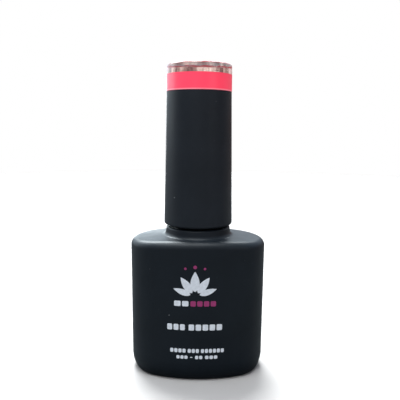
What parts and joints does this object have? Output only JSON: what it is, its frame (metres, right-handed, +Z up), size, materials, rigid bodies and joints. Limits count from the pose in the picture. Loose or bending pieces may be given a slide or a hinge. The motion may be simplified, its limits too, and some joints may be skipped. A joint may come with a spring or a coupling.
{
  "type": "nail polish bottle",
  "caption": "Oval black soft-touch glass nail polish bottle with a tall tapered screw cap, a coral colour band, a clear cap top and an applicator brush inside.",
  "frame": {"origin": "centre of the base, on the plane the bottle stands on, on the axis of the neck and cap", "axes": "+Z up along the neck and cap, +X along the wide side of the oval, -Y is the printed front"},
  "size_m": [0.0357, 0.0214, 0.0809],
  "materials": {
    "coated_glass": "matte black soft-touch coat over glass",
    "polish": "glossy coral liquid",
    "steel_ball": "polished stainless steel",
    "liner_pe": "natural polyethylene",
    "rod_pe": "black moulded polyethylene",
    "anchor_metal": "plain wire",
    "nylon": "dark nylon filament",
    "inner_pp": "moulded polypropylene",
    "soft_touch": "soft-touch coat",
    "coral": "high-gloss coral",
    "clear_acrylic": "polished clear acrylic"
  },
  "bodies": {
    "bottle": {"glass_bottle": "coated_glass", "gel_polish": "polish"},
    "seal": {"seal_liner": "liner_pe"},
    "brush": {"brush_rod": "rod_pe", "anchor_staple": "anchor_metal", "bristles": "nylon"},
    "cap": {"inner_cap": "inner_pp", "cap_outer_shell": "soft_touch", "colour_band": "coral", "clear_top": "clear_acrylic"},
    "ball_a": {"mixing_ball_1": "steel_ball"},
    "ball_b": {"mixing_ball_2": "steel_ball"}
  },
  "joints": [
    {"name": "cap_lift", "type": "slide", "parent": "bottle", "child": "seal", "axis": [0, 0, 1], "range_m": [0, 0.055], "deforming": ["gel_polish"]},
    {"name": "thread_rise", "type": "slide", "parent": "seal", "child": "brush", "axis": [0, 0, 1], "range_m": [0, 0.0032]},
    {"name": "cap_turn", "type": "hinge", "parent": "brush", "child": "cap", "pos_m": [0, 0, 0.0475], "axis": [0, 0, 1], "range_deg": [0, 540]},
    {"name": "ball_a_roll", "type": "slide", "parent": "bottle", "child": "ball_a", "axis": [0, 0, 1], "range_m": [0, 0.024]},
    {"name": "ball_b_roll", "type": "slide", "parent": "bottle", "child": "ball_b", "axis": [0, 0, 1], "range_m": [0, 0.024]}
  ],
  "couplings": [
    {"joint": "thread_rise", "follows": "cap_turn", "m_per_rad": 0.00033693}
  ]
}
